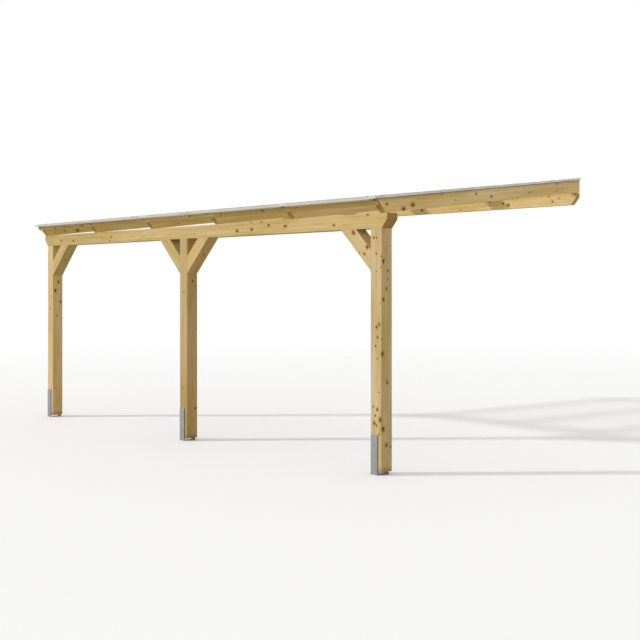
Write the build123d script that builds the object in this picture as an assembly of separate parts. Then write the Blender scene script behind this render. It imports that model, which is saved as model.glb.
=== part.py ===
from build123d import *
from math import cos, hypot, radians, sin, sqrt, tan
import os

# Lean-to carport: posts and a beam along the outer side, a ledger along the inner side, rafters between them.
# The roof is of clear twin-wall sheets, held down over the rafters by glazing bars.
# Frame: the origin is at the centre of the ledger's back, the face that is fastened down flat.
# +X runs along the ledger towards the near end, +Y points out of its back, away from the posts, +Z is up.

# Driving dimensions in millimetres, slopes in degrees

post_side = 120.0            # square post section
post_spacing = 2590.0        # centre to centre along the eaves
clear_height = 1957.0        # foot of the anchors to the underside of the beam
wall_distance = 2706.0       # outer face of the posts to the ledger's back
arris = 3.0                  # rounding of the planed timber's long edges

beam_height = 120.0
beam_overhang = 60.0         # past the outer face of each end post
chamfer_run = 60.0           # end chamfer along the beam or ledger
chamfer_rise = 70.0          # end chamfer up the end face

ledger_thickness = 60.0
ledger_height = 112.0

roof_pitch = 6.75            # rising to the ledger
rafter_count = 6
rafter_width = 60.0
rafter_depth = 116.0         # square to the slope
rafter_inset = 17.0          # end rafter's side face in from the beam's end
seat_depth = 1.5             # how far the level seat is cut into a rafter
tail_reach = 92.0            # top corner of the tail out from the beam's face
wall_play = 2.0              # rafters and sheets stop short of the ledger's back

brace_side = 120.0           # square brace section
brace_leg = 338.0            # lower edge of the brace along the post and along the beam

lath_width = 40.0
lath_thickness = 20.0
lath_top_gap = 7.0           # lath's upper edge below the tail's top corner, along the cut

seal_height = 3.0            # rubber strip between rafter and sheet
seal_width = 56.0
sheet_thickness = 16.0       # twin-wall roof sheet
sheet_skin = 1.5
sheet_rib = 1.5
cell_count = 32              # hollow cells across a sheet
sheet_reach = 128.0          # lower end of the sheets out from the beam's face, level distance
sheet_play = 4.0             # gap between a sheet and the web of a glazing bar

bar_metal = 2.0              # wall of the glazing bar's cap
bar_web_width = 8.0          # hollow web between two sheets
bar_web_metal = 1.5
bar_cap_width = 60.0
bar_foot_height = 1.5        # feet of the cap that press on the sheets
bar_foot_width = 4.0
flange_drop = 12.5           # upright flange of the two end bars
flange_kick = 3.0            # drip edge of that flange, outwards and down
flange_kick_drop = 8.0

profile_metal = 1.5          # closing profiles on the sheets' ends
profile_lip = 22.0           # lips of a closing profile along the sheet
profile_gap = 1.0            # closing profile to the cap of a glazing bar
drip_drop = 12.0             # drip edge under the eave profile
drip_kick = 5.0

anchor_width = 70.0          # flats of the post anchor
anchor_shift = 17.0          # anchor's centre from the post's, towards the far end
anchor_metal = 8.0
anchor_reach = 290.0         # flats above the foot of the post
foot_height = 25.0           # foot of the post above the foot of its anchor

# Derived values

slope = tan(radians(roof_pitch))
pitch_cos = cos(radians(roof_pitch))
pitch_sin = sin(radians(roof_pitch))
beam_length = 2 * (post_spacing + beam_overhang) + post_side
ledger_length = beam_length - 2 * rafter_inset
rafter_pitch = (ledger_length - rafter_width) / (rafter_count - 1)
beam_face_y = -wall_distance
beam_back_y = beam_face_y + post_side
ledger_face_y = -ledger_thickness
sheet_low_y = beam_face_y - sheet_reach
sheet_high_y = -wall_play - profile_metal

# Heights above the anchors' feet, which set how far those lie under the origin
beam_top_height = clear_height + beam_height
rafter_foot_height = beam_top_height - seat_depth
rafter_rise = slope * (wall_distance - ledger_thickness)
ledger_top_height = rafter_foot_height + rafter_rise + seat_depth
base_z = ledger_height / 2 - ledger_top_height
foot_z = base_z + foot_height
beam_bottom_z = base_z + clear_height
beam_top_z = base_z + beam_top_height
ledger_top_z = ledger_height / 2

# Square distances above the rafters' tops
sheet_under = seal_height
sheet_over = seal_height + sheet_thickness
cap_under = sheet_over + bar_foot_height
cap_over = cap_under + bar_metal

# End bar's cap from the rafter's centre, so that its drip edge is flush with the beam's end
cap_reach = rafter_width / 2 + rafter_inset - flange_kick


def underside_z(y):
    # Height of the rafters' underside line at y
    return base_z + rafter_foot_height + slope * (y - beam_face_y)


def topside_z(y):
    # Height of the rafters' top line at y
    return underside_z(y) + rafter_depth / pitch_cos


def roof_point(y, down, height):
    # (y, z) of a point on the roof: from the top line at y, a distance down the slope and one square to it
    return (y - down * pitch_cos - height * pitch_sin, topside_z(y) - down * pitch_sin + height * pitch_cos)


def roof_plane(x, y):
    # Plane square to the slope with local x along +X and local y off the roof, facing down the slope
    return Plane(origin=(x, y, topside_z(y)), x_dir=(1, 0, 0), z_dir=(0, -pitch_cos, -pitch_sin))


def block(x0, x1, y0, y1, z0, z1):
    # Upright box from its six faces
    return Pos((x0 + x1) / 2, (y0 + y1) / 2, (z0 + z1) / 2) * Box(x1 - x0, y1 - y0, z1 - z0)


def prism_x(outline, x0, x1):
    # Prism along X from an outline of (y, z) pairs
    wire = Polyline(*[(x0, y, z) for y, z in outline], close=True)
    return extrude(make_face(wire), amount=x1 - x0, dir=(1, 0, 0))


def prism_y(outline, y0, y1):
    # Prism along Y from an outline of (x, z) pairs
    wire = Polyline(*[(x, y0, z) for x, z in outline], close=True)
    return extrude(make_face(wire), amount=y1 - y0, dir=(0, 1, 0))


def rounded_timber(timber, is_long):
    # Planed timber with its long edges rounded
    return fillet(timber.edges().filter_by(is_long), arris)


def along_brace(edge):
    # Edges that run at 45 degrees up a knee brace
    direction = edge.tangent_at(0.5)
    return abs(direction.X) > 0.5 and abs(direction.Z) > 0.5


def rafter_x(index):
    # Centre of a rafter, counted from the near end
    return (ledger_length - rafter_width) / 2 - index * rafter_pitch


def post_x(index):
    # Centre of a post, counted from the near end
    return post_spacing * (1 - index)


def make_post(index):
    x = post_x(index)
    half = post_side / 2
    post = block(x - half, x + half, beam_face_y, beam_back_y, foot_z, beam_bottom_z)
    return rounded_timber(post, Axis.Z)


def make_anchor(index):
    # H-shaped anchor: two upright flats, and the web that carries the post
    x = post_x(index) - anchor_shift
    half = anchor_width / 2
    top = foot_z + anchor_reach
    outer = block(x - half, x + half, beam_face_y - anchor_metal, beam_face_y, base_z, top)
    inner = block(x - half, x + half, beam_back_y, beam_back_y + anchor_metal, base_z, top)
    web = block(x - half, x + half, beam_face_y, beam_back_y, foot_z - anchor_metal, foot_z)
    return outer + inner + web


def make_chamfered_beam(length, y0, y1, z0, z1):
    # Timber along X with both lower end corners cut off
    end = length / 2
    outline = [
        (-end, z1),
        (-end, z0 + chamfer_rise),
        (-end + chamfer_run, z0),
        (end - chamfer_run, z0),
        (end, z0 + chamfer_rise),
        (end, z1),
    ]
    return rounded_timber(prism_y(outline, y0, y1), Axis.X)


def make_outer_beam():
    return make_chamfered_beam(beam_length, beam_face_y, beam_back_y, beam_bottom_z, beam_top_z)


def make_ledger():
    return make_chamfered_beam(ledger_length, ledger_face_y, 0, ledger_top_z - ledger_height, ledger_top_z)


def tail_corner():
    # Top corner of a rafter's tail
    y = beam_face_y - tail_reach
    return (y, topside_z(y))


def tail_offcut():
    # What the slanted cut takes off a rafter's tail, as (y, z) pairs, drawn on past the tail's corner
    tail_y, tail_z = tail_corner()
    past = 1.5
    past_y = beam_face_y + past * (tail_y - beam_face_y)
    past_z = beam_top_z + past * (tail_z - beam_top_z)
    out_y = tail_y - 2 * rafter_depth
    down_z = beam_top_z - rafter_depth
    return [(beam_face_y, beam_top_z), (past_y, past_z), (out_y, past_z), (out_y, down_z), (beam_face_y, down_z)]


def make_rafter(index):
    # Sloping rafter with a slanted tail, a level seat on the beam and one on the ledger
    x = rafter_x(index)
    left = x - rafter_width / 2
    right = x + rafter_width / 2
    section = Pos(0, -rafter_depth / 2) * RectangleRounded(rafter_width, rafter_depth, arris)
    stock_length = (wall_distance + tail_reach + 2 * rafter_depth) / pitch_cos
    rafter = extrude(roof_plane(x, rafter_depth) * section, amount=stock_length)
    rafter -= prism_x(tail_offcut(), left, right)
    rafter -= block(left, right, beam_face_y, beam_back_y, beam_bottom_z, beam_top_z)
    rafter -= block(left, right, ledger_face_y, 0, ledger_top_z - ledger_height, ledger_top_z)
    rafter -= block(left, right, -wall_play, 2 * rafter_depth, -ledger_height, ledger_top_z + 2 * rafter_depth)
    return rafter


def make_brace(post_index, side):
    # Knee brace from a post's side face up to the beam, towards +X (side 1) or -X (side -1)
    start = post_x(post_index) + side * post_side / 2
    upper_leg = brace_leg - brace_side * sqrt(2)
    outline = [
        (start, beam_bottom_z - brace_leg),
        (start + side * brace_leg, beam_bottom_z),
        (start + side * upper_leg, beam_bottom_z),
        (start, beam_bottom_z - upper_leg),
    ]
    return rounded_timber(prism_y(outline, beam_face_y, beam_back_y), along_brace)


def make_lath():
    # Lath laid on the slanted tails, its thickness square to the cut
    start_y, start_z = beam_face_y, beam_top_z
    tip_y, tip_z = tail_corner()
    cut_length = hypot(tip_y - start_y, tip_z - start_z)
    along_y = (tip_y - start_y) / cut_length
    along_z = (tip_z - start_z) / cut_length
    upper = cut_length - lath_top_gap
    lower = upper - lath_width

    def corner(distance, height):
        y = start_y + along_y * distance - along_z * height
        z = start_z + along_z * distance + along_y * height
        return (y, z)

    outline = [corner(lower, 0), corner(upper, 0), corner(upper, lath_thickness), corner(lower, lath_thickness)]
    return prism_x(outline, -ledger_length / 2, ledger_length / 2)


def sheet_sides(index):
    # Two sides of a roof sheet, between the webs of two glazing bars
    clear = bar_web_width / 2 + sheet_play
    return (rafter_x(index + 1) + clear, rafter_x(index) - clear)


def make_sheet(index):
    # Hollow sheet: two skins joined by ribs that run down the slope
    far, near = sheet_sides(index)
    width = near - far
    cell_width = (width - (cell_count + 1) * sheet_rib) / cell_count
    cell = Rectangle(cell_width, sheet_thickness - 2 * sheet_skin)
    section = Rectangle(width, sheet_thickness)
    section -= GridLocations(cell_width + sheet_rib, 0, cell_count, 1) * cell
    section = Pos(0, (sheet_under + sheet_over) / 2) * section
    length = (sheet_high_y - sheet_low_y) / pitch_cos
    return extrude(roof_plane((near + far) / 2, sheet_high_y) * section, amount=length)


def strip(x0, x1, low, high):
    # Rectangle in the roof plane from its four sides
    return Pos((x0 + x1) / 2, (low + high) / 2) * Rectangle(x1 - x0, high - low)


def bar_flange(edge, side):
    # Side flange of an end bar: upright, then kicked out as a drip edge
    metal = side * bar_metal
    low = cap_over - flange_drop
    kick = side * flange_kick
    outline = [
        (edge, cap_over),
        (edge, low),
        (edge + kick, low - flange_kick_drop),
        (edge + kick - metal, low - flange_kick_drop),
        (edge - metal, low),
        (edge - metal, cap_over),
    ]
    return make_face(Polyline(*outline, close=True))


def bar_section(side):
    # Glazing bar in section: seal strip, hollow web and footed cap, and a flange where side is 1 or -1
    half_cap = bar_cap_width / 2
    half_web = bar_web_width / 2
    section = strip(-seal_width / 2, seal_width / 2, 0, sheet_under)
    section += strip(-half_web, half_web, 0, cap_over)
    section += strip(-half_cap, half_cap, cap_under, cap_over)
    for foot in (-1, 1):
        outer = foot * half_cap
        inner = outer - foot * bar_foot_width
        section += strip(min(outer, inner), max(outer, inner), sheet_over, cap_over)
    section -= strip(-half_web + bar_web_metal, half_web - bar_web_metal, sheet_under, cap_under)
    if side:
        edge = side * cap_reach
        section += strip(min(edge, 0), max(edge, 0), cap_under, cap_over)
        section += bar_flange(edge, side)
    return section


def make_bar(index):
    # Glazing bar over a rafter, its lower end closed by a plate; the two end bars reach out over the rafter
    x = rafter_x(index)
    side = {0: 1, rafter_count - 1: -1}.get(index, 0)
    length = (sheet_high_y - sheet_low_y) / pitch_cos
    bar = extrude(roof_plane(x, sheet_high_y) * bar_section(side), amount=length)
    left = min(-bar_cap_width / 2, side * cap_reach)
    right = max(bar_cap_width / 2, side * cap_reach)
    plate = strip(left, right, 0, cap_over)
    return bar + extrude(roof_plane(x, sheet_low_y) * plate, amount=profile_metal)


def make_profile(index, at_eave):
    # Channel pushed over the end of a sheet, with a kicked drip edge at the eave
    metal = profile_metal
    outline = [(-profile_lip, sheet_over), (-profile_lip, sheet_over + metal), (metal, sheet_over + metal)]
    if at_eave:
        outline += [(metal, sheet_under), (metal + drip_kick, sheet_under - drip_drop)]
        outline += [(drip_kick, sheet_under - drip_drop), (0, sheet_under - metal)]
    else:
        outline += [(metal, sheet_under - metal)]
    outline += [(-profile_lip, sheet_under - metal), (-profile_lip, sheet_under), (0, sheet_under), (0, sheet_over)]
    end_y = sheet_low_y if at_eave else sheet_high_y
    facing = 1 if at_eave else -1
    far = rafter_x(index + 1) + bar_cap_width / 2 + profile_gap
    near = rafter_x(index) - bar_cap_width / 2 - profile_gap
    return prism_x([roof_point(end_y, facing * down, height) for down, height in outline], far, near)


parts = {}
for number, place in enumerate(["near", "mid", "far"]):
    parts["post_" + place] = make_post(number)
    parts["post_anchor_" + place] = make_anchor(number)
parts["outer_beam"] = make_outer_beam()
parts["wall_ledger"] = make_ledger()
parts["knee_brace_near"] = make_brace(0, -1)
parts["knee_brace_mid_near"] = make_brace(1, 1)
parts["knee_brace_mid_far"] = make_brace(1, -1)
parts["knee_brace_far"] = make_brace(2, 1)
parts["eaves_lath"] = make_lath()
for number in range(rafter_count):
    parts["rafter_" + str(number + 1)] = make_rafter(number)
    parts["glazing_bar_" + str(number + 1)] = make_bar(number)
for number in range(rafter_count - 1):
    parts["roof_panel_" + str(number + 1)] = make_sheet(number)
    parts["eave_profile_" + str(number + 1)] = make_profile(number, True)
    parts["wall_profile_" + str(number + 1)] = make_profile(number, False)

os.makedirs("parts", exist_ok=True)
for name, shape in parts.items():
    export_step(shape, "parts/" + name + ".step")
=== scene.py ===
"""Looks of the lean-to carport: planed treated timber, galvanised post anchors and a clear twin-wall roof."""

import logging
import math
import random
from dataclasses import dataclass
from enum import Enum
from typing import Iterable, Mapping, Optional, Sequence, Union

import bpy
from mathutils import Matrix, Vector


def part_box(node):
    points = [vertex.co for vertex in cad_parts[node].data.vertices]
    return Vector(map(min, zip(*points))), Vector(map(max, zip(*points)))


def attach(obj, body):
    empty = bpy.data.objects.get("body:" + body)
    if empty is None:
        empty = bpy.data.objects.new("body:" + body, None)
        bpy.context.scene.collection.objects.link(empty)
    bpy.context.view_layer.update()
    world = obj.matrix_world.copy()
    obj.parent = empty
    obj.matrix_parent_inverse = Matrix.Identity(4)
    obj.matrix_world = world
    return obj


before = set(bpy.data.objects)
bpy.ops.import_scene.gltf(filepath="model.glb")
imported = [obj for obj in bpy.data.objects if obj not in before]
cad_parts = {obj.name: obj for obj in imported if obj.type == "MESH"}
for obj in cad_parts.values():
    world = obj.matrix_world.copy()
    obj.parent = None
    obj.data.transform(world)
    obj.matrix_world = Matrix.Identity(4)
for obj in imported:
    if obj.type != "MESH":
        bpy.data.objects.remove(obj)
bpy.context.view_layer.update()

LOG = logging.getLogger("carport")
BODY = "root"
NEAR_TO_FAR = ("near", "mid", "far")
RING_SIDES = 24
RING_ANGLES = tuple(2 * math.pi * number / RING_SIDES for number in range(RING_SIDES))
STAR_POINTS = 6
STAR_DEPTH = 0.20
SHARP_EDGE = math.radians(32)
RAFTER_DEPTH = 0.116
SEAT_DEPTH = 0.0015

Triple = tuple[float, float, float]
Colour = tuple[float, float, float, float]
Value = Union["Field", float, int]
Material = bpy.types.Material

X_WAY: Triple = (1, 0, 0)
Y_WAY: Triple = (0, 1, 0)
Z_WAY: Triple = (0, 0, 1)


def srgb(*levels: int) -> Colour:
    """Turns a colour as a screen shows it into the linear colour that a shader takes.

    Args:
        levels: Red, green and blue from 0 to 255.

    Returns:
        The linear colour with an alpha of 1.
    """
    linear = []
    for level in levels:
        part = level / 255
        linear.append(part / 12.92 if part <= 0.04045 else ((part + 0.055) / 1.055) ** 2.4)
    return (*linear, 1.0)


class Slot(Enum):
    """Material slots of the carport's record, for steel and aluminium."""

    STEEL = "galvanised_steel"
    ALUMINIUM = "aluminium_profile"


class RingForm(Enum):
    """Outline of one ring of a fastener."""

    ROUND = "round"
    HEXAGON = "hexagon"
    STAR = "star"


@dataclass(frozen=True)
class Field:
    """A value that varies over a surface: a node's output socket, wrapped for maths in plain expressions."""

    shader: "Shader"
    socket: bpy.types.NodeSocket

    def __add__(self, other: Value) -> "Field":
        """Sum."""
        return self.shader.maths("ADD", self, other)

    def __sub__(self, other: Value) -> "Field":
        """Difference."""
        return self.shader.maths("SUBTRACT", self, other)

    def __rsub__(self, other: Value) -> "Field":
        """Difference with the number first."""
        return self.shader.maths("SUBTRACT", other, self)

    def __mul__(self, other: Value) -> "Field":
        """Product."""
        return self.shader.maths("MULTIPLY", self, other)

    def __truediv__(self, other: Value) -> "Field":
        """Quotient."""
        return self.shader.maths("DIVIDE", self, other)

    def __rtruediv__(self, other: Value) -> "Field":
        """Quotient with the number first."""
        return self.shader.maths("DIVIDE", other, self)

    def __pow__(self, other: Value) -> "Field":
        """Power."""
        return self.shader.maths("POWER", self, other)

    def __rpow__(self, other: Value) -> "Field":
        """Power of a number."""
        return self.shader.maths("POWER", other, self)

    def __abs__(self) -> "Field":
        """Distance from nought."""
        return self.shader.maths("ABSOLUTE", self)

    __radd__ = __add__
    __rmul__ = __mul__

    def least(self, other: Value) -> "Field":
        """The smaller of two values."""
        return self.shader.maths("MINIMUM", self, other)

    def most(self, other: Value) -> "Field":
        """The larger of two values."""
        return self.shader.maths("MAXIMUM", self, other)

    def fraction(self) -> "Field":
        """What is left over the last whole number."""
        return self.shader.maths("FRACT", self)

    def ramp(self, start: float, end: float) -> "Field":
        """Smooth step that is 0 at start and 1 at end; start may be the larger one.

        Args:
            start: Value at which the step leaves 0.
            end: Value at which it reaches 1.

        Returns:
            The step, from 0 to 1.
        """
        low, high = min(start, end), max(start, end)
        sockets = {"Value": self, "From Min": low, "From Max": high}
        step = self.shader.node("ShaderNodeMapRange", {"interpolation_type": "SMOOTHSTEP"}, sockets)
        return step if end > start else 1 - step

    def twin(self, output: Union[int, str]) -> "Field":
        """Another output of the same node."""
        return Field(self.shader, self.socket.node.outputs[output])


class Shader:
    """A node tree under construction."""

    def __init__(self, tree: bpy.types.NodeTree) -> None:
        """Takes the node tree of a material or of the world, and empties it."""
        self.tree = tree
        self.tree.nodes.clear()

    def node(
        self,
        kind: str,
        settings: Optional[Mapping[str, object]] = None,
        inputs: Optional[Mapping[Union[int, str], object]] = None,
        output: Union[int, str] = 0,
    ) -> Optional[Field]:
        """Adds one node.

        Args:
            kind: Type of the node.
            settings: Its own settings, set first.
            inputs: Values or fields by the name or number of the socket.
            output: The output that is wanted.

        Returns:
            That output, or nothing where the node has none.
        """
        made = self.tree.nodes.new(kind)
        for name, setting in (settings or {}).items():
            setattr(made, name, setting)
        for name, value in (inputs or {}).items():
            if isinstance(value, Field):
                self.tree.links.new(value.socket, made.inputs[name])
            else:
                made.inputs[name].default_value = value
        return Field(self, made.outputs[output]) if made.outputs else None

    def maths(self, operation: str, *values: Value) -> Field:
        """Math node over fields and numbers."""
        return self.node("ShaderNodeMath", {"operation": operation}, dict(enumerate(values)))

    def vector(self, operation: str, *values: object, output: str = "Vector") -> Field:
        """Vector Math node over vectors."""
        return self.node("ShaderNodeVectorMath", {"operation": operation}, dict(enumerate(values)), output)

    def length(self, vector: Field) -> Field:
        """Length of a vector."""
        return self.vector("LENGTH", vector, output="Value")

    def dot(self, first: Field, second: Triple) -> Field:
        """How far a vector reaches along a direction."""
        return self.vector("DOT_PRODUCT", first, second, output="Value")

    def distance(self, vector: Field, point: Triple) -> Field:
        """Distance of a vector from a point."""
        return self.vector("DISTANCE", vector, point, output="Value")

    def joined(self, x: Value, y: Value, z: Value = 0.0) -> Field:
        """Vector from three values."""
        return self.node("ShaderNodeCombineXYZ", None, {0: x, 1: y, 2: z})

    def drawn(self, place: Field, along: Triple, scale: float) -> Field:
        """A place across lines that run along one direction, with scale of them side by side on one metre."""
        return self.vector("CROSS_PRODUCT", place, tuple(scale * part for part in along))

    def place(self) -> Field:
        """Place on the object, in metres."""
        return self.node("ShaderNodeTexCoord", None, None, "Object")

    def facing(self) -> Field:
        """Direction of the surface on the object."""
        return self.node("ShaderNodeTexCoord", None, None, "Normal")

    def noise(self, at: Field, scale: float, detail: float = 2.0, roughness: float = 0.5) -> Field:
        """Soft random pattern from 0 to 1; roughness is the weight of the finer layers that detail adds."""
        sockets = {"Vector": at, "Scale": scale, "Detail": detail, "Roughness": roughness}
        return self.node("ShaderNodeTexNoise", {"noise_dimensions": "3D"}, sockets)

    def cells(self, at: Field, scale: float, dimensions: str = "3D") -> Field:
        """Random cells: distance to the nearest centre, with colour and centre as further outputs."""
        sockets = {"Vector": at, "Scale": scale}
        return self.node("ShaderNodeTexVoronoi", {"voronoi_dimensions": dimensions, "feature": "F1"}, sockets)

    def blend(self, share: Value, first: object, second: object) -> Field:
        """Mix of two colours or fields; share is how much of the second one there is."""
        settings = {"data_type": "RGBA", "blend_type": "MIX", "clamp_factor": True}
        return self.node("ShaderNodeMix", settings, {0: share, 6: first, 7: second}, 2)

    def relief(self, height: Field, depth: float) -> Field:
        """Normal of a surface with fine relief: height goes from 0 to 1 over a real depth in metres."""
        return self.node("ShaderNodeBump", None, {"Strength": 1.0, "Distance": depth, "Height": height})

    def surface(self, **sockets: object) -> Field:
        """Principled surface; a socket's name is written with _ for each space."""
        named = {name.replace("_", " "): value for name, value in sockets.items()}
        return self.node("ShaderNodeBsdfPrincipled", None, named)

    def output(self, surface: Field, kind: str = "ShaderNodeOutputMaterial") -> None:
        """Ends the tree in its output node."""
        self.node(kind, None, {"Surface": surface})

    def finish(self, height: Field, depth: float, **sockets: object) -> None:
        """Ends a material in a surface with fine relief and with other sockets of its own."""
        self.output(self.surface(Normal=self.relief(height, depth), **sockets))


def placed(name: str, data: bpy.types.ID) -> bpy.types.Object:
    """Puts a mesh, light or camera into the scene.

    Args:
        name: Name of the object.
        data: The mesh, light or camera.

    Returns:
        The object.
    """
    made = bpy.data.objects.new(name, data)
    bpy.context.scene.collection.objects.link(made)
    return made


def new_material(name: str) -> tuple[Material, Shader]:
    """Makes an empty material.

    Args:
        name: Its name.

    Returns:
        The material and the shader that fills it.
    """
    material = bpy.data.materials.new(name)
    material.use_nodes = True
    return material, Shader(material.node_tree)


@dataclass(frozen=True)
class Knot:
    """A knot that shows at one place of a stick's surface, with its radius across the grain."""

    place: Triple
    radius: float


@dataclass(frozen=True)
class Stick:
    """How one piece of timber was cut out of its log.

    along, across and upright are the grain's three directions, and pith is a point on the log's heart line.
    tone_and_light is how much red, green and blue this piece gives back beside others of its finish; on the
    ledger, rafters, beam and middle post it also holds painted light or shade over the whole piece. loose is
    the share of the likely places that hold a knot of their own, and foot the height of an end near the damp,
    if any.
    """

    name: str
    along: Triple
    across: Triple
    upright: Triple
    pith: Triple
    seed: int
    knots: tuple[Knot, ...]
    tone_and_light: Triple
    loose: float
    foot: Optional[float] = None

    def in_grain(self, place: Triple) -> Vector:
        """A place, measured from the pith in the grain's directions."""
        away = Vector(place) - Vector(self.pith)
        return Vector([away.dot(Vector(way)) for way in (self.along, self.across, self.upright)])


class Grain:
    """A place on a stick, measured from its pith in the grain's directions.

    Each stick reads a noise at its own place, up to APART from the middle. Over one metre the heart line
    leans by up to LEAN, and it sways over a width of SWAY.
    """

    APART = 40.0
    LEAN = 0.010
    SWAY = 0.022

    def __init__(self, shader: Shader, stick: Stick) -> None:
        """Measures the place.

        Args:
            shader: The timber's shader.
            stick: How the piece was cut.
        """
        draw = random.Random(stick.seed)
        self.shader = shader
        self.offset = tuple(draw.uniform(-self.APART, self.APART) for _ in range(3))
        lean = (draw.uniform(-self.LEAN, self.LEAN), draw.uniform(-self.LEAN, self.LEAN))
        self.place = shader.place()
        from_pith = shader.vector("SUBTRACT", self.place, stick.pith)
        self.run = shader.dot(from_pith, stick.along)
        self.side = shader.dot(from_pith, stick.across)
        self.rise = shader.dot(from_pith, stick.upright)
        sway = shader.noise(self.stretched(1.3, 7.0), 1.0, 2.0)
        sway_up = shader.noise(self.stretched(1.1, 9.0), 1.3, 2.0)
        self.heart_side = self.side + self.run * lean[0] + (sway - 0.5) * self.SWAY
        self.heart_rise = self.rise + self.run * lean[1] + (sway_up - 0.5) * self.SWAY
        self.radius = shader.length(shader.joined(self.heart_side, self.heart_rise))

    def stretched(self, lengthwise: float, crosswise: float) -> Field:
        """Place in the grain's directions, scaled and moved off to this stick's own part of a noise."""
        at = self.shader.joined(self.run * lengthwise, self.side * crosswise, self.rise * crosswise)
        return self.shader.vector("ADD", at, self.offset)


@dataclass(frozen=True)
class TimberFinish:
    """Planed, pressure-treated softwood: light straw with olive and rosy bands, knots and fine checks."""

    pale: Colour = srgb(227, 203, 153)
    warm: Colour = srgb(208, 178, 113)
    late: Colour = srgb(175, 133, 62)
    treated: Colour = srgb(178, 166, 84)
    olive: Colour = srgb(193, 174, 100)
    rose: Colour = srgb(226, 187, 138)
    halo: Colour = srgb(173, 129, 50)
    knot: Colour = srgb(96, 68, 10)
    heart: Colour = srgb(120, 87, 22)
    bark: Colour = srgb(50, 34, 4)
    check: Colour = srgb(98, 68, 32)
    damp: Colour = srgb(132, 98, 56)
    end_grain: Colour = srgb(160, 122, 52)
    ring_width: float = 0.0042
    knot_run: float = 0.30
    knot_turn: float = 1.1
    knot_least: float = 0.0035
    knot_range: float = 0.0080
    knot_stretch: float = 0.74
    bulge_stretch: float = 0.30
    bulge: float = 0.0075
    far_off: float = 50.0
    relief_depth: float = 0.0005
    shine: float = 0.2

    def material(self, stick: Stick) -> Material:
        """Makes one stick's timber: rings round its pith, which show on its ends too, and knots.

        Args:
            stick: How the piece was cut.

        Returns:
            Its material.
        """
        material, shader = new_material("timber_" + stick.name)
        grain = Grain(shader, stick)
        knots, flow = self._knots(grain, stick)

        age = (grain.radius + flow * self.bulge) / self.ring_width
        age = age + (shader.noise(grain.stretched(2.0, 30.0), 1.0, 1.0) - 0.5) * 1.4
        season = age.fraction()
        late = season.ramp(0.35, 0.92) * season.ramp(1.0, 0.95)

        blotch = shader.noise(grain.stretched(0.9, 5.0), 1.0, 3.0)
        band = shader.noise(grain.stretched(0.5, 45.0), 1.0, 1.0)
        streak = shader.noise(grain.stretched(2.2, 110.0), 1.0, 3.0, 0.6)
        fibre = shader.noise(grain.stretched(14.0, 900.0), 1.0, 2.0, 0.6)
        stain = shader.noise(grain.stretched(1.6, 12.0), 1.0, 2.0)
        end = abs(shader.dot(shader.facing(), stick.along)).ramp(0.6, 0.85)
        check = self._checks(grain, end)
        core = knots.ramp(1.0, 0.72)
        broken = shader.noise(grain.place, 110.0, 1.0).ramp(0.38, 0.6)
        rim = knots.ramp(0.74, 0.96) * knots.ramp(1.2, 1.0) * broken

        def toned(colour: Colour) -> Colour:
            """One colour in this stick's own tone, with the painted light or shade that some sticks carry."""
            return tuple(min(1.0, level * share) for level, share in zip(colour, stick.tone_and_light)) + (1.0,)

        layers = (
            (blotch.ramp(0.3, 0.7), self.warm),
            (late * (0.30 + end * 0.3), self.late),
            (band.ramp(0.50, 0.64) * 0.48, self.olive),
            (band.ramp(0.50, 0.34) * 0.38, self.rose),
            (stain.ramp(0.5, 0.75) * 0.32, self.treated),
            (streak.ramp(0.50, 0.74) * 0.56, self.late),
            (streak.ramp(0.44, 0.22) * 0.46, self.pale),
            (fibre.ramp(0.5, 0.75) * 0.22, self.warm),
            (end * 0.72, self.end_grain),
            (knots.ramp(2.6, 1.0) * 0.55, self.halo),
            (knots.ramp(1.04, 0.76) * 0.95, self.knot),
            (knots.ramp(0.62, 0.15) * 0.65, self.heart),
            (rim * 0.85, self.bark),
            (check * 0.5, self.check),
        )
        colour: object = toned(self.pale)
        for share, other in layers:
            colour = shader.blend(share, colour, toned(other))
        if stick.foot is not None:
            height = shader.dot(grain.place, Z_WAY) - stick.foot + (streak - 0.5) * 0.04
            colour = shader.blend(height.ramp(0.055, 0.0) * 0.5, colour, toned(self.damp))

        height = late * 0.35 + fibre * 0.35 + core * 0.3 - check * 1.4 - rim * 0.4 + streak * 0.3
        gloss = 0.62 + (streak - 0.5) * 0.16 - core * 0.14 + end * 0.14
        sockets = {"Base_Color": colour, "Roughness": gloss, "Specular_IOR_Level": self.shine}
        shader.finish(height, self.relief_depth, **sockets)
        return material

    def _checks(self, grain: Grain, end: Field) -> Field:
        """Fine drying checks: along the grain on the sides, and running in from the edges on the ends.

        Args:
            grain: The place on the stick.
            end: 1 on an end face.

        Returns:
            1 in a check.
        """
        shader = grain.shader
        line = shader.noise(grain.stretched(1.3, 70.0), 1.0, 1.0)
        zone = shader.noise(grain.stretched(1.0, 9.0), 1.0, 0.0).ramp(0.60, 0.68)
        along = abs(line - 0.5).ramp(0.010, 0.003) * zone * (1 - end)
        side = grain.heart_side / grain.radius
        rise = grain.heart_rise / grain.radius
        wheel = shader.joined(side * 4, rise * 4, grain.radius * 9)
        spoke = shader.noise(shader.vector("ADD", wheel, grain.offset), 1.0, 1.0)
        return along.most(abs(spoke - 0.5).ramp(0.008, 0.002) * end * grain.radius.ramp(0.006, 0.02))

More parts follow.
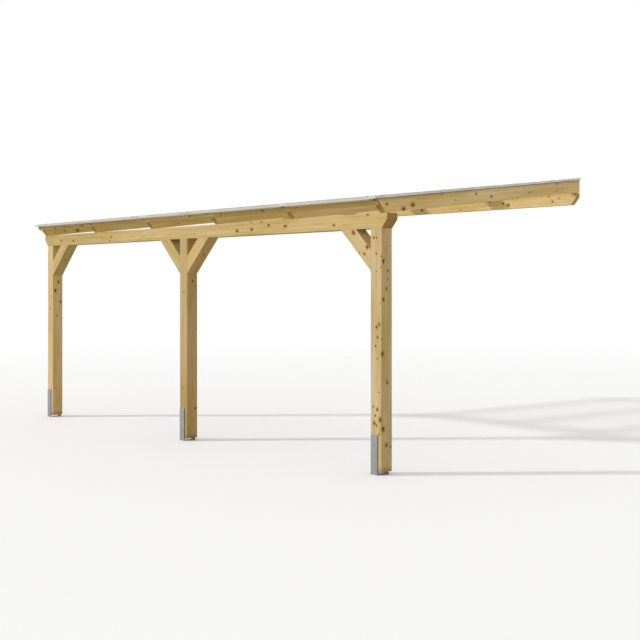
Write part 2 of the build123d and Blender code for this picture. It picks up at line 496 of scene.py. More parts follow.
    def _knots(self, grain: Grain, stick: Stick) -> tuple[Field, Field]:
        """Places knots: scattered ones that run out from the pith, and those at set places.

        Args:
            grain: The place on the stick.
            stick: How the piece was cut.

        Returns:
            The distance to the nearest knot in that knot's radii, and how far the rings bulge there.
        """
        shader = grain.shader
        turn = shader.maths("ARCTAN2", grain.heart_rise, grain.heart_side)
        grid_run = grain.run / self.knot_run + grain.offset[0]
        grid_turn = turn / self.knot_turn + grain.offset[1]
        cell = shader.cells(shader.joined(grid_run, grid_turn), 1.0, "2D")
        chance = shader.node("ShaderNodeSeparateColor", None, {0: cell.twin("Color")})
        centre = shader.node("ShaderNodeSeparateXYZ", None, {0: cell.twin("Position")})
        gap_run = (grid_run - centre) * (self.knot_run * self.knot_stretch)
        gap_turn = (grid_turn - centre.twin(1)) * self.knot_turn * grain.radius
        size = self.knot_least + self.knot_range * chance ** 2
        missing = chance.twin(1).ramp(stick.loose, stick.loose + 0.02)
        seam = abs(turn).ramp(2.75, 2.95)
        facing = shader.facing()
        out_side = shader.dot(facing, stick.across) * grain.heart_side
        out_rise = shader.dot(facing, stick.upright) * grain.heart_rise
        glancing = (abs(out_side + out_rise) / grain.radius).ramp(0.62, 0.45)
        nearest = shader.length(shader.joined(gap_run, gap_turn)) / size
        nearest = nearest + (missing + seam + glancing) * self.far_off
        flow = nearest.ramp(3.4, 0.4)
        round_knot = shader.joined(grain.run * self.knot_stretch, grain.side, grain.rise)
        round_bulge = shader.joined(grain.run * self.bulge_stretch, grain.side, grain.rise)
        for knot in stick.knots:
            run, side, rise = stick.in_grain(knot.place)
            gap = shader.distance(round_knot, (run * self.knot_stretch, side, rise))
            nearest = nearest.least(gap / knot.radius)
            gap = shader.distance(round_bulge, (run * self.bulge_stretch, side, rise))
            flow = flow + gap.ramp(knot.radius * 3.2, knot.radius * 0.3)
        ragged = (shader.noise(grain.place, 170.0, 1.0) - 0.5) * 0.6
        uneven = (shader.noise(grain.place, 65.0, 1.0) - 0.5) * 0.9
        return nearest + ragged + uneven, flow


@dataclass(frozen=True)
class GalvanisedFinish:
    """Hot-dip galvanised steel with a faint spangle."""

    light: Colour = srgb(155, 154, 152)
    dark: Colour = srgb(131, 132, 133)
    chalk: Colour = srgb(168, 166, 162)
    metallic: float = 0.6
    relief_depth: float = 0.00025

    def material(self) -> Material:
        """Makes the steel's material."""
        material, shader = new_material("galvanised_steel_spangle")
        place = shader.place()
        wobble = shader.noise(place, 60.0, 1.0).twin("Color")
        bent = shader.vector("MULTIPLY_ADD", wobble, (0.006, 0.006, 0.006), place)
        spangle = shader.node("ShaderNodeSeparateColor", None, {0: shader.cells(bent, 95.0).twin("Color")})
        cloud = shader.noise(place, 14.0, 4.0, 0.6)
        runs = shader.noise(shader.vector("MULTIPLY", place, (160.0, 160.0, 9.0)), 1.0, 2.0)
        colour = shader.blend(spangle * 0.5, self.light, self.dark)
        colour = shader.blend(cloud.ramp(0.5, 0.75) * 0.55, colour, self.chalk)
        gloss = 0.40 + spangle * 0.12 + cloud * 0.16
        height = spangle * 0.25 + runs * 0.5 + cloud * 0.4
        shader.finish(height, self.relief_depth, Base_Color=colour, Metallic=self.metallic, Roughness=gloss)
        return material


@dataclass(frozen=True)
class RoofPlane:
    """The plane of the rafters' tops."""

    foot_y: float
    foot_z: float
    pitch: float = math.radians(6.75)

    @property
    def uphill(self) -> Triple:
        """Direction up the slope, to the ledger."""
        return (0.0, math.cos(self.pitch), math.sin(self.pitch))

    @property
    def outward(self) -> Triple:
        """Direction square off the roof."""
        return (0.0, -math.sin(self.pitch), math.cos(self.pitch))

    def point(self, x: float, y: float, height: float = 0.0) -> Vector:
        """Point on the roof above x and y of the rafters' tops, at a height square off the roof."""
        top = Vector((x, y, self.foot_z + math.tan(self.pitch) * (y - self.foot_y)))
        return top + Vector(self.outward) * height


@dataclass(frozen=True)
class LowBand:
    """Another finish along the lower edge of a drawn profile.

    plane is the roof's plane. The band ends at height above it and fades in over fade below that, and cover
    is its share there.
    """

    plane: RoofPlane
    height: float
    fade: float
    colour: Colour
    cover: float = 1.0


@dataclass(frozen=True)
class AluminiumFinish:
    """Matt aluminium, drawn lengthwise and dulled by weather, over a rubber strip or with painted shade on a
    drip edge.
    """

    metal: Colour = srgb(208, 204, 195)
    shade: Colour = srgb(190, 187, 179)
    rubber: Colour = srgb(92, 90, 85)
    # Painted shade, dark and brownish, along the eave profile's drip lip.
    drip_shade: Colour = srgb(132, 116, 84)
    metallic: float = 0.15
    relief_depth: float = 0.0001

    def material(self, name: str, along: Triple, low: Optional[LowBand] = None) -> Material:
        """Makes the material of a drawn profile.

        Args:
            name: Name of the material.
            along: Direction in which the profile was drawn.
            low: The band along its lower edge, where it has one.

        Returns:
            The material.
        """
        material, shader = new_material(name)
        place = shader.place()
        lines = shader.noise(shader.drawn(place, along, 900.0), 1.0, 2.0)
        cloud = shader.noise(place, 5.0, 4.0, 0.6)
        drops = shader.cells(place, 45.0).ramp(0.22, 0.16) * shader.noise(place, 9.0, 1.0).ramp(0.5, 0.7)
        colour = shader.blend(cloud.ramp(0.35, 0.7), self.metal, self.shade)
        colour = shader.blend(lines.ramp(0.4, 0.7) * 0.3, colour, self.shade)
        gloss = 0.50 + cloud * 0.16 + drops * 0.06
        metallic: Value = self.metallic
        height = lines * 0.5 + drops * 0.2
        # The low band is rubber on the bars, and painted shade on the eave profile's drip lip.
        if low is not None:
            foot = tuple(low.plane.point(0, low.plane.foot_y))
            level = shader.dot(shader.vector("SUBTRACT", place, foot), low.plane.outward)
            strip = level.ramp(low.height, low.height - low.fade) * low.cover
            colour = shader.blend(strip, colour, low.colour)
            gloss = gloss + strip * 0.15
            metallic = (1 - strip) * self.metallic
        shader.finish(height, self.relief_depth, Base_Color=colour, Metallic=metallic, Roughness=gloss)
        return material


@dataclass(frozen=True)
class RubberFinish:
    """Black rubber of the sealing washers."""

    face: Colour = srgb(44, 44, 45)
    worn: Colour = srgb(74, 74, 73)
    relief_depth: float = 0.0001

    def material(self) -> Material:
        """Makes the rubber's material."""
        material, shader = new_material("sealing_rubber")
        grain = shader.noise(shader.place(), 900.0, 3.0)
        cloud = shader.noise(shader.place(), 60.0, 2.0)
        colour = shader.blend(cloud.ramp(0.4, 0.7) * 0.6, self.face, self.worn)
        shader.finish(grain, self.relief_depth, Base_Color=colour, Roughness=0.66 + cloud * 0.16)
        return material


@dataclass(frozen=True)
class SheetFinish:
    """Clear twin-wall sheet, whose ribs show as lines down the slope."""

    clear: Colour = srgb(236, 241, 241)
    rib: Colour = srgb(206, 213, 214)
    dust: Colour = srgb(214, 210, 198)
    cell_count: int = 32
    rib_width: float = 0.0015
    skin_cover: float = 0.018
    rib_cover: float = 0.09
    sheen_cover: float = 0.38
    refraction: float = 1.58
    relief_depth: float = 0.0006

    def material(self, name: str, low_x: float, high_x: float) -> Material:
        """Makes the material of one sheet.

        Args:
            name: Name of the material.
            low_x: Far side of the sheet.
            high_x: Near side of the sheet.

        Returns:
            The material.
        """
        material, shader = new_material(name)
        place = shader.place()
        pitch = (high_x - low_x - self.rib_width) / self.cell_count
        across = shader.dot(place, X_WAY) - low_x - self.rib_width / 2
        from_rib = abs((across / pitch + 0.5).fraction() - 0.5) * pitch
        line = from_rib.ramp(0.0050, 0.0008)
        cloud = shader.noise(shader.vector("MULTIPLY", place, (3.0, 1.2, 3.0)), 1.0, 4.0, 0.6)
        specks = shader.noise(place, 140.0, 2.0).ramp(0.70, 0.82)
        sheen = shader.node("ShaderNodeLayerWeight", None, {"Blend": 0.5}, "Facing") ** 5
        colour = shader.blend(line, self.clear, self.rib)
        colour = shader.blend(cloud.ramp(0.45, 0.8) * 0.35, colour, self.dust)
        cover = self.skin_cover + line * self.rib_cover + cloud.ramp(0.5, 0.9) * 0.02 + specks * 0.02
        cover = cover + sheen * self.sheen_cover
        gloss = 0.06 + cloud * 0.08
        ripple = shader.noise(shader.vector("MULTIPLY", place, (14.0, 2.0, 14.0)), 1.0, 1.0)
        sockets = {"Base_Color": colour, "Roughness": gloss, "Alpha": cover, "IOR": self.refraction}
        shader.finish(ripple, self.relief_depth, **sockets)
        return material


@dataclass(frozen=True)
class Ring:
    """One ring round a fastener's axis; the radius of a hexagon is half its width across flats."""

    radius: float
    height: float
    form: RingForm = RingForm.ROUND

    def reach(self, angle: float) -> float:
        """Distance of the ring from the axis.

        Args:
            angle: Angle round the axis.

        Returns:
            The distance at that angle.
        """
        if self.form is RingForm.HEXAGON:
            sixth = math.pi / 3
            return self.radius / math.cos((angle + sixth / 2) % sixth - sixth / 2)
        if self.form is RingForm.STAR:
            return self.radius * (1 + STAR_DEPTH * math.cos(STAR_POINTS * angle))
        return self.radius

    def point(self, angle: float, spin: float) -> Vector:
        """Point of the ring at an angle, with the ring turned by spin."""
        reach = self.reach(angle)
        return Vector((reach * math.cos(angle + spin), reach * math.sin(angle + spin), self.height))


@dataclass(frozen=True)
class Turned:
    """A closed shape through rings on one axis, with the number of its finish."""

    rings: tuple[Ring, ...]
    finish: int = 0


@dataclass(frozen=True)
class Fastener:
    """A screw head, bolt head or nut, made of turned shapes that stand on the surface."""

    shapes: tuple[Turned, ...]


HEX = RingForm.HEXAGON
STAR = RingForm.STAR


def rings(*rows: Sequence[object]) -> tuple[Ring, ...]:
    """Rings from rows of radius, height and form, in millimetres."""
    return tuple(Ring(row[0] / 1000, row[1] / 1000, *row[2:]) for row in rows)


WASHER = Turned(rings((10.0, -0.3), (10.0, 1.5), (9.5, 2.0), (5.2, 2.0)))
DOME = Turned(rings((12.2, -0.3), (12.4, 0.5), (11.6, 1.4), (9.6, 2.3), (6.6, 3.0), (3.2, 3.3), (1.0, 3.4)))
NUT = Turned(rings((7.8, 1.9), (8.5, 2.6, HEX), (8.5, 9.2, HEX), (8.2, 9.9), (5.3, 10.0)))
TURNS = ((4.6, 10.9), (5.0, 11.2), (4.6, 11.5), (5.0, 11.8))
THREAD = Turned(rings((5.0, 9.6), (5.0, 10.6), *TURNS, (4.2, 12.6)))
SEAL = Turned(rings((7.4, -0.2), (7.6, 0.4), (7.2, 0.9), (6.4, 0.9)), 1)
CAP_HEAD = Turned(rings((5.0, 0.7), (5.2, 1.2), (4.6, 2.0), (3.2, 2.5), (2.0, 2.6, STAR), (1.8, 1.6, STAR)))
SUNK_HEAD = Turned(rings((4.6, -0.4), (4.7, 0.15), (4.3, 0.35), (2.3, 0.35, STAR), (2.2, -0.25, STAR)))
ANCHOR_BOLT = Fastener((DOME,))
ANCHOR_NUT = Fastener((WASHER, NUT, THREAD))
CAP_SCREW = Fastener((SEAL, CAP_HEAD))
SUNK_SCREW = Fastener((SUNK_HEAD,))


class PieceMesh:
    """Collects the faces of one visible piece, a set of fasteners."""

    def __init__(self, draw: random.Random) -> None:
        """Starts with nothing; draw is the source of each fastener's turn."""
        self.draw = draw
        self.points: list[Vector] = []
        self.faces: list[tuple[int, ...]] = []
        self.finishes: list[int] = []

    def add(self, fastener: Fastener, point: Vector, axis: Vector) -> None:
        """Adds a fastener.

        Args:
            fastener: The screw head, bolt head or nut.
            point: Where it stands on the surface.
            axis: Direction that its head looks in.
        """
        turn = axis.to_track_quat("Z", "Y")
        spin = self.draw.uniform(0, 1)
        for shape in fastener.shapes:
            corners = [ring.point(angle, spin) for ring in shape.rings for angle in RING_ANGLES]
            self._skin([point + turn @ corner for corner in corners], shape.finish)

    def _skin(self, corners: Iterable[Vector], finish: int) -> None:
        """Adds a closed skin over the rings of a turned shape.

        Args:
            corners: Points of its rings, from the lowest ring to the highest.
            finish: Number of the skin's finish.
        """
        start = len(self.points)
        self.points.extend(corners)
        rows = [range(first, first + RING_SIDES) for first in range(start, len(self.points), RING_SIDES)]
        made = [tuple(reversed(rows[0])), tuple(rows[-1])]
        for lower, upper in zip(rows, rows[1:]):
            for number in range(RING_SIDES):
                after = (number + 1) % RING_SIDES
                made.append((lower[number], lower[after], upper[after], upper[number]))
        self.faces.extend(made)
        self.finishes.extend([finish] * len(made))

    def make_piece(self, name: str, materials: Iterable[Material]) -> None:
        """Turns the collected faces into a piece that rides with the carport.

        Args:
            name: Name of the piece.
            materials: Materials in the order of the finishes' numbers.
        """
        mesh = bpy.data.meshes.new(name)
        mesh.from_pydata([tuple(point) for point in self.points], [], self.faces)
        for material in materials:
            mesh.materials.append(material)
        mesh.polygons.foreach_set("material_index", self.finishes)
        mesh.shade_smooth()
        mesh.set_sharp_from_angle(angle=SHARP_EDGE)
        mesh.validate()
        made = placed(name, mesh)
        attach(made, BODY)
        LOG.info("made %s: %d faces", name, len(self.faces))


def dress(node: str, material: Material) -> None:
    """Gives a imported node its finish."""
    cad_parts[node].material_slots[0].material = material
    LOG.info("dressed %s", node)


def middle(node: str) -> Vector:
    """Centre of a node's box."""
    low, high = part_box(node)
    return (low + high) / 2


def knots_at(*rows: Sequence[float]) -> tuple[Knot, ...]:
    """Knots from rows of x, y, z and radius, in millimetres."""
    return tuple(Knot((x / 1000, y / 1000, z / 1000), radius / 1000) for x, y, z, radius in rows)


def outer_knots(y: float, *rows: Triple) -> tuple[Knot, ...]:
    """Knots on a face that is square to y, from rows of x, z and radius, in millimetres."""
    return knots_at(*((x, y, z, radius) for x, z, radius in rows))


def side_knots(x: float, *rows: Triple) -> tuple[Knot, ...]:
    """Knots on a face that is square to x, from rows of y, z and radius, in millimetres."""
    return knots_at(*((x, y, z, radius) for y, z, radius in rows))


OUTER_FACE_MM = -2706
LEDGER_FACE_MM = -60
POST_KNOTS = {
    "near": outer_knots(
        OUTER_FACE_MM,
        (2565, -451, 7), (2598, -452, 6), (2592, -577, 6), (2648, -600, 5), (2644, -688, 4), (2595, -719, 4),
        (2635, -971, 4), (2624, -1139, 9), (2595, -1162, 8), (2605, -1241, 7), (2648, -1256, 4),
        (2585, -1312, 6), (2605, -1412, 5), (2621, -1677, 4), (2558, -1795, 6), (2604, -1813, 9),
        (2584, -1865, 6), (2633, -1893, 13), (2570, -1928, 10), (2597, -1941, 6), (2626, -2010, 6),
    )
    + side_knots(
        2650,
        (-2614, -518, 4), (-2686, -640, 11), (-2635, -714, 7), (-2635, -779, 5), (-2650, -855, 8),
        (-2684, -942, 9), (-2694, -1371, 12), (-2642, -1600, 8), (-2690, -1967, 14), (-2649, -2096, 10),
        (-2601, -2114, 6),
    ),
    "mid": outer_knots(OUTER_FACE_MM, (8, -893, 6), (-20, -1827, 6))
    + side_knots(60, (-2639, -787, 8), (-2609, -2025, 8)),
    "far": outer_knots(OUTER_FACE_MM, (-2566, -957, 6))
    + side_knots(-2530, (-2636, -789, 10), (-2678, -886, 11), (-2611, -1015, 9), (-2657, -1176, 6)),
}
BEAM_KNOTS = outer_knots(
    OUTER_FACE_MM,
    (2498, -264, 8), (2107, -332, 9), (1497, -316, 11), (1274, -300, 9), (1178, -264, 7), (1040, -327, 11),
    (1035, -261, 7), (829, -333, 11), (-1303, -316, 8), (-1323, -355, 6), (-2076, -332, 10),
    (-2344, -323, 10),
)
BRACE_KNOTS = outer_knots(OUTER_FACE_MM, (2337, -402, 13), (2491, -524, 11), (2461, -577, 8))
LEDGER_KNOTS = outer_knots(
    LEDGER_FACE_MM,
    (-603, 50, 8), (-317, 26, 11), (735, -11, 10), (1275, -32, 6), (1664, 23, 5), (1832, 0, 9),
    (1894, -18, 11), (2383, 37, 6), (2424, -13, 7), (2504, 12, 6), (2687, 45, 5),
)
RAFTER_KNOTS = {
    0: side_knots(
        2693,
        (-2691, -190, 9), (-2386, -179, 15), (-2495, -219, 14), (-2021, -70, 5), (-1850, -113, 4),
        (-1575, -44, 8), (-1364, -56, 9), (-1063, -70, 8), (-991, -54, 7), (-896, 47, 4), (-804, 15, 7),
        (-376, 119, 7), (-268, 86, 4),
    ),
    5: side_knots(-2633, (-2330, -181, 14), (-2500, -192, 8), (-2135, -199, 8)),
}
LATH_KNOTS = knots_at(
    (-2322, -2794, -188, 11), (-2112, -2804, -177, 7), (-2018, -2796, -186, 8), (-1738, -2798, -183, 11),
    (-1544, -2803, -177, 9), (235, -2805, -175, 9), (711, -2807, -173, 8), (1303, -2801, -179, 9),
)


@dataclass
class PostRow:
    """The three posts on their galvanised anchors, with the bolts through both."""

    timber: TimberFinish
    steel: Material
    # Whole-post tints, near to far: the middle post's dark one is painted shade of trees, the others set the
    # posts' tone.
    tones_and_light: tuple[Triple, ...] = ((0.96, 0.97, 1.08), (0.82, 0.78, 0.75), (1.11, 1.11, 1.20))
    loose: float = 0.12
    pith_play: float = 0.018
    pith_seed: int = 11
    seed: int = 100
    bolt_heights: tuple[float, float] = (0.100, 0.235)

    def build(self) -> None:
        """Dresses posts and anchors, and sets a bolt head outside and a nut inside at each bolt's height."""
        for number, place in enumerate(NEAR_TO_FAR):
            post = "post_" + place
            anchor = "post_anchor_" + place
            low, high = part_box(post)
            draw = random.Random(self.pith_seed + number)
            pith = (
                (low.x + high.x) / 2 + draw.uniform(-self.pith_play, self.pith_play),
                (low.y + high.y) / 2 + draw.uniform(-self.pith_play, self.pith_play),
                (low.z + high.z) / 2,
            )
            cut = (Z_WAY, X_WAY, Y_WAY, pith, self.seed + number)
            stick = Stick(post, *cut, POST_KNOTS[place], self.tones_and_light[number], self.loose, low.z)
            dress(post, self.timber.material(stick))
            dress(anchor, self.steel)
            self._bolts(anchor, draw)

    def _bolts(self, anchor: str, draw: random.Random) -> None:
        """Makes the bolts of one anchor.

        Args:
            anchor: Name of the anchor's node.
            draw: Source of each head's turn.
        """
        low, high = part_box(anchor)
        middle_x = (low.x + high.x) / 2
        mesh = PieceMesh(draw)
        for height in self.bolt_heights:
            for part, y, out in ((ANCHOR_BOLT, low.y, -1), (ANCHOR_NUT, high.y, 1)):
                mesh.add(part, Vector((middle_x, y, low.z + height)), Vector((0, out, 0)))
        mesh.make_piece(anchor.replace("post_anchor", "anchor_bolts"), [self.steel])


@dataclass(frozen=True)
class Brace:
    """A knee brace; its lean is 1 where it rises towards the near end, and -1 towards the far end."""

    node: str
    lean: int
    tone_and_light: Triple
    knots: tuple[Knot, ...] = ()


@dataclass
class BeamLine:
    """The outer beam and its four knee braces, each brace screwed to post and beam."""

    timber: TimberFinish
    steel: Material
    # A darker, yellower tint over the whole beam: partly painted shade of trees, partly the beam's own tone.
    tone_and_light: Triple = (0.91, 0.90, 0.80)
    loose: float = 0.10
    pith_off: tuple[float, float] = (0.012, -0.016)
    seed: int = 201
    braces: tuple[Brace, ...] = (
        Brace("knee_brace_near", -1, (1.0, 1.0, 1.06), BRACE_KNOTS),
        Brace("knee_brace_mid_near", 1, (0.97, 0.93, 0.86)),
        Brace("knee_brace_mid_far", -1, (0.95, 0.97, 1.0)),
        Brace("knee_brace_far", 1, (1.0, 1.0, 1.0)),
    )
    brace_loose: float = 0.20
    brace_pith_off: float = 0.012
    brace_seed: int = 220
    screw_inset: float = 0.049
    screw_spread: float = 0.030
    screw_seed: int = 240

    def build(self) -> None:
        """Dresses the beam and the braces, and makes the braces' screws."""
        centre = middle("outer_beam")
        pith = (0, centre.y + self.pith_off[0], centre.z + self.pith_off[1])
        cut = (X_WAY, Y_WAY, Z_WAY, pith, self.seed)
        stick = Stick("outer_beam", *cut, BEAM_KNOTS, self.tone_and_light, self.loose)
        dress("outer_beam", self.timber.material(stick))
        for number, brace in enumerate(self.braces):
            self._brace(number, brace)

    def _brace(self, number: int, brace: Brace) -> None:
        """Dresses one brace and makes its screws, on the lower face near each end.

        Args:
            number: Number of the brace, which sets its seeds.
            brace: The brace.
        """
        node, lean = brace.node, brace.lean
        half = math.sqrt(0.5)
        along = Vector((lean * half, 0, half))
        outward = Vector((lean * half, 0, -half))
        centre = middle(node)
        pith = tuple(centre + outward * self.brace_pith_off)
        cut = (tuple(along), Y_WAY, tuple(outward), pith, self.brace_seed + number)
        dress(node, self.timber.material(Stick(node, *cut, brace.knots, brace.tone_and_light, self.brace_loose)))
        low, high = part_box(node)
        foot = Vector((low.x if lean > 0 else high.x, centre.y, low.z))
        head = Vector((high.x if lean > 0 else low.x, centre.y, high.z))
        mesh = PieceMesh(random.Random(self.screw_seed + number))
        for end, inward in ((foot, along), (head, -along)):
            for side in (-1, 1):
                point = end + inward * self.screw_inset + Vector((0, side * self.screw_spread, 0))
                mesh.add(SUNK_SCREW, point, outward)
        mesh.make_piece(node.replace("knee_brace", "brace_screws"), [self.steel])


@dataclass
class WallLedger:
    """The ledger along the upper ends of the rafters."""

    timber: TimberFinish
    # A lighter tint over the whole ledger: painted light, standing in for the sunlight that the roof sheets
    # hold back.
    tone_and_light: Triple = (1.28, 1.28, 1.28)
    loose: float = 0.10
    pith: Triple = (0, 0.018, -0.025)
    seed: int = 301

    def build(self) -> None:
        """Dresses the ledger."""
        cut = (X_WAY, Y_WAY, Z_WAY, self.pith, self.seed)
        stick = Stick("wall_ledger", *cut, LEDGER_KNOTS, self.tone_and_light, self.loose)
        dress("wall_ledger", self.timber.material(stick))


@dataclass
class RafterSet:
    """Six rafters and the lath across their tails."""

    timber: TimberFinish
    steel: Material
    plane: RoofPlane
    count: int = 6
    # Lighter tints over the rafters, the near one most: painted light, standing in for light thrown back by
    # the house wall onto their shaded sides.
    tone_and_light: Triple = (1.24, 1.21, 1.08)
    near_tone_and_light: Triple = (1.24, 1.26, 1.34)
    loose: float = 0.40
    loose_beside_knots: float = 0.12
    pith_play: float = 0.030
    pith_shift: tuple[float, float] = (0.020, 0.050)
    pith_seed: int = 400
    seed: int = 420
    lath_tint: Triple = (1.10, 1.05, 0.88)
    lath_loose: float = 0.20
    lath_thickness: float = 0.020
    lath_pith_off: tuple[float, float] = (-0.090, 0.030)
    lath_seed: int = 460
    tail_fall: float = 0.1038
    tail_reach: float = 0.092
    screw_apart: float = 0.014
    screw_stagger: float = 0.008
    screw_seed: int = 470

    def build(self) -> None:
        """Dresses rafters and lath, and screws the lath to each tail."""
        for number in range(self.count):
            self._rafter(number)
        self._lath()

    def _rafter(self, number: int) -> None:
        """Dresses one rafter.

        Args:
            number: Number of the rafter, 0 at the near end.
        """
        node = f"rafter_{number + 1}"
        draw = random.Random(self.pith_seed + number)
        shift = draw.choice((-1, 1)) * draw.uniform(*self.pith_shift)
        play = Vector((draw.uniform(-self.pith_play, self.pith_play), 0, 0))
        pith = tuple(middle(node) + play + Vector(self.plane.outward) * shift)
        knots = RAFTER_KNOTS.get(number, ())
        tone_and_light = self.tone_and_light if number else self.near_tone_and_light
        loose = self.loose_beside_knots if knots else self.loose
        cut = (self.plane.uphill, X_WAY, self.plane.outward, pith, self.seed + number)
        dress(node, self.timber.material(Stick(node, *cut, knots, tone_and_light, loose)))

    def _lath(self) -> None:
        """Dresses the lath and makes its screws, two in each rafter."""
        centre = middle("eaves_lath")
        slant = math.atan2(self.tail_fall, self.tail_reach)
        up = Vector((0, -math.cos(slant), math.sin(slant)))
        face = Vector((0, -math.sin(slant), -math.cos(slant)))
        pith = tuple(centre + face * self.lath_pith_off[0] + up * self.lath_pith_off[1])
        cut = (X_WAY, tuple(up), tuple(face), pith, self.lath_seed)
        stick = Stick("eaves_lath", *cut, LATH_KNOTS, self.lath_tint, self.lath_loose)
        dress("eaves_lath", self.timber.material(stick))
        mesh = PieceMesh(random.Random(self.screw_seed))
        for number in range(self.count):
            middle_x = middle(f"rafter_{number + 1}").x
            for side in (-1, 1):
                point = centre + face * (self.lath_thickness / 2) + up * side * self.screw_stagger
                point.x = middle_x + side * self.screw_apart
                mesh.add(SUNK_SCREW, point, face)
        mesh.make_piece("lath_screws", [self.steel])


@dataclass
class GlazedRoof:
    """Clear sheets between glazing bars, their ends closed with channel profiles."""

    plane: RoofPlane
    steel: Material
    rubber: Material
    bar: AluminiumFinish
    profile: AluminiumFinish
    sheet: SheetFinish
    bays: int = 5
    seal_height: float = 0.003
    seal_fade: float = 0.0002
    drip_fade: float = 0.003
    drip_cover: float = 0.88
    cap_height: float = 0.0225
    screw_spacing: float = 0.30
    screw_margin: float = 0.12
    screw_seed: int = 500

    def build(self) -> None:
        """Dresses bars, sheets and profiles, and makes the cap screws."""
        seal = LowBand(self.plane, self.seal_height, self.seal_fade, self.bar.rubber)
        # Painted shade along the lowest part of the eave profile, its drip lip.
        drip_shade_band = LowBand(self.plane, self.seal_height, self.drip_fade, self.profile.drip_shade, self.drip_cover)
        # The bars get the lighter copy of the aluminium: painted light on their shaded sides.
        brightened_bar_metal = self.bar.material("brightened_aluminium_bar", self.plane.uphill, seal)
        eave_metal = self.profile.material("aluminium_profile_eave", X_WAY, drip_shade_band)
        wall_metal = self.profile.material("aluminium_profile_wall", X_WAY)
        for number in range(1, self.bays + 2):
            dress(f"glazing_bar_{number}", brightened_bar_metal)
            self._cap_screws(number)
        for number in range(1, self.bays + 1):
            dress(f"eave_profile_{number}", eave_metal)
            dress(f"wall_profile_{number}", wall_metal)
            node = f"roof_panel_{number}"
            low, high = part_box(node)
            dress(node, self.sheet.material(f"clear_sheet_{number}", low.x, high.x))

    def _cap_screws(self, number: int) -> None:
        """Makes the screws that hold one glazing bar's cap down.

        Args:
            number: Number of the bar.
        """
        x = middle(f"rafter_{number}").x
        low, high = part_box(f"roof_panel_{min(number, self.bays)}")
        first, last = low.y + self.screw_margin, high.y - self.screw_margin
        steps = round((last - first) / self.screw_spacing)
        mesh = PieceMesh(random.Random(self.screw_seed + number))
        for step in range(steps + 1):
            point = self.plane.point(x, first + (last - first) * step / steps, self.cap_height)
            mesh.add(CAP_SCREW, point, Vector(self.plane.outward))
        mesh.make_piece(f"cap_screws_{number}", [self.steel, self.rubber])


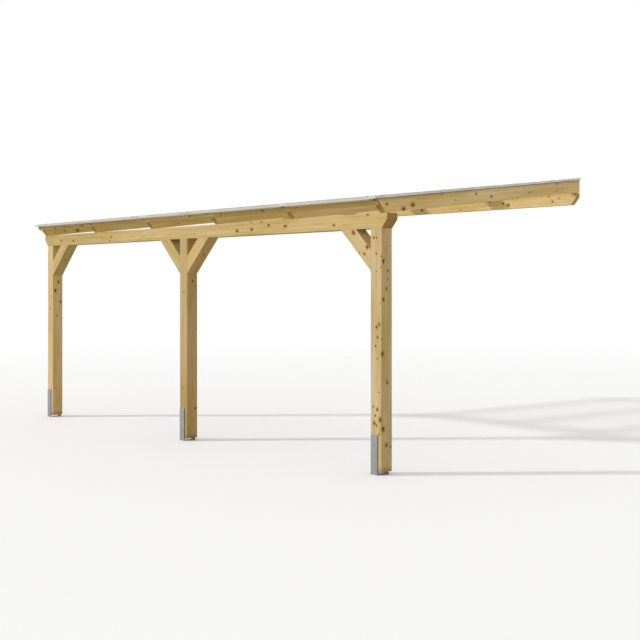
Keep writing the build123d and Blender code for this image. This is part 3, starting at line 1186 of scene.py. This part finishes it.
@dataclass
class Studio:
    """Pale floor, soft light and the camera."""

    ground: float
    floor_gap: float = 0.0005
    floor_reach: float = 60.0
    fade: tuple[float, float] = (7.0, 16.0)
    pale: Colour = srgb(250, 251, 255)
    speckle: Colour = srgb(243, 244, 248)
    bounce: Colour = srgb(150, 146, 134)
    white: Colour = (1.0, 1.0, 1.0, 1.0)
    sky: float = 0.74
    sky_colour: Colour = (1.0, 0.985, 0.93, 1.0)
    sun: float = 1.80
    sun_softness: float = 0.06
    sun_way: Triple = (0.595, 0.682, -0.423)
    eye: Triple = (8.4696, -8.8143, -0.8331)
    heading: float = 0.8188
    lens: float = 60.03
    film_width: float = 36.0
    shift: float = -0.0535

    def build(self) -> None:
        """Sets up floor, world, light and camera."""
        self._floor()
        self._world()
        self._lamp()
        self._camera()
        LOG.info("studio ready")

    def _floor(self) -> None:
        """Makes the pale floor, which fades out into the white background."""
        reach, z = self.floor_reach, self.ground - self.floor_gap
        corners = [(x, y, z) for x, y in ((-reach, -reach), (reach, -reach), (reach, reach), (-reach, reach))]
        mesh = bpy.data.meshes.new("floor")
        mesh.from_pydata(corners, [], [(0, 1, 2, 3)])
        material, shader = new_material("pale_floor")
        place = shader.place()
        grain = shader.noise(place, 30.0, 4.0)
        tone = shader.blend(grain * 0.3, self.pale, self.speckle)
        tone = shader.blend(self._seen(shader), self.bounce, tone)
        plain = shader.surface(Base_Color=tone, Roughness=0.85)
        away = shader.length(place).ramp(*self.fade)
        below = shader.node("ShaderNodeNewGeometry", None, None, "Backfacing")
        clear = shader.node("ShaderNodeBsdfTransparent")
        shader.output(shader.node("ShaderNodeMixShader", None, {0: away.most(below), 1: plain, 2: clear}))
        mesh.materials.append(material)
        floor = placed("floor", mesh)

    def _world(self) -> None:
        """Lights the scene softly from all round, and shows white behind it."""
        world = bpy.data.worlds.new("soft_light")
        world.use_nodes = True
        shader = Shader(world.node_tree)
        soft = shader.node("ShaderNodeBackground", None, {"Color": self.sky_colour, "Strength": self.sky})
        plain = shader.node("ShaderNodeBackground", None, {"Color": self.white, "Strength": 1.0})
        mixed = shader.node("ShaderNodeMixShader", None, {0: self._seen(shader), 1: soft, 2: plain})
        shader.output(mixed, "ShaderNodeOutputWorld")
        bpy.context.scene.world = world

    def _lamp(self) -> None:
        """Sets up the sun."""
        light = bpy.data.lights.new("key_light", "SUN")
        light.energy = self.sun
        light.angle = self.sun_softness
        lamp = placed("key_light", light)
        lamp.rotation_mode = "QUATERNION"
        lamp.rotation_quaternion = Vector(self.sun_way).to_track_quat("-Z", "Y")

    def _camera(self) -> None:
        """Sets up the level camera."""
        camera = bpy.data.cameras.new("camera")
        camera.lens = self.lens
        camera.sensor_width = self.film_width
        camera.shift_y = self.shift
        viewer = placed("camera", camera)
        viewer.location = self.eye
        viewer.rotation_euler = (math.pi / 2, 0, self.heading)
        bpy.context.scene.camera = viewer

    def _seen(self, shader: Shader) -> Field:
        """1 where the camera sees a place, also mirrored or through a sheet, and 0 where it gives light."""
        path = shader.node("ShaderNodeLightPath", None, None, "Is Camera Ray")
        return path.most(path.twin("Is Glossy Ray")).most(path.twin("Is Transmission Ray"))


def main() -> None:
    """Builds the carport's sub-assemblies from the ground up, then the studio."""
    logging.basicConfig(level=logging.INFO, format="%(message)s")
    bpy.context.scene.view_settings.view_transform = "Standard"
    timber = TimberFinish()
    steel = GalvanisedFinish().material()
    beam_low, beam_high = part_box("outer_beam")
    plane = RoofPlane(beam_low.y, beam_high.z - SEAT_DEPTH + RAFTER_DEPTH / math.cos(RoofPlane.pitch))
    PostRow(timber, steel).build()
    BeamLine(timber, steel).build()
    WallLedger(timber).build()
    RafterSet(timber, steel, plane).build()
    # The bars' aluminium is a lighter copy of the profiles': painted light, standing in for light thrown back
    # by the house wall onto the bars' shaded sides.
    bar = AluminiumFinish(metal=srgb(226, 224, 219), shade=srgb(206, 204, 199))
    GlazedRoof(plane, steel, RubberFinish().material(), bar, AluminiumFinish(), SheetFinish()).build()
    Studio(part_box("post_anchor_near")[0].z).build()


if __name__ == "__main__":
    main()
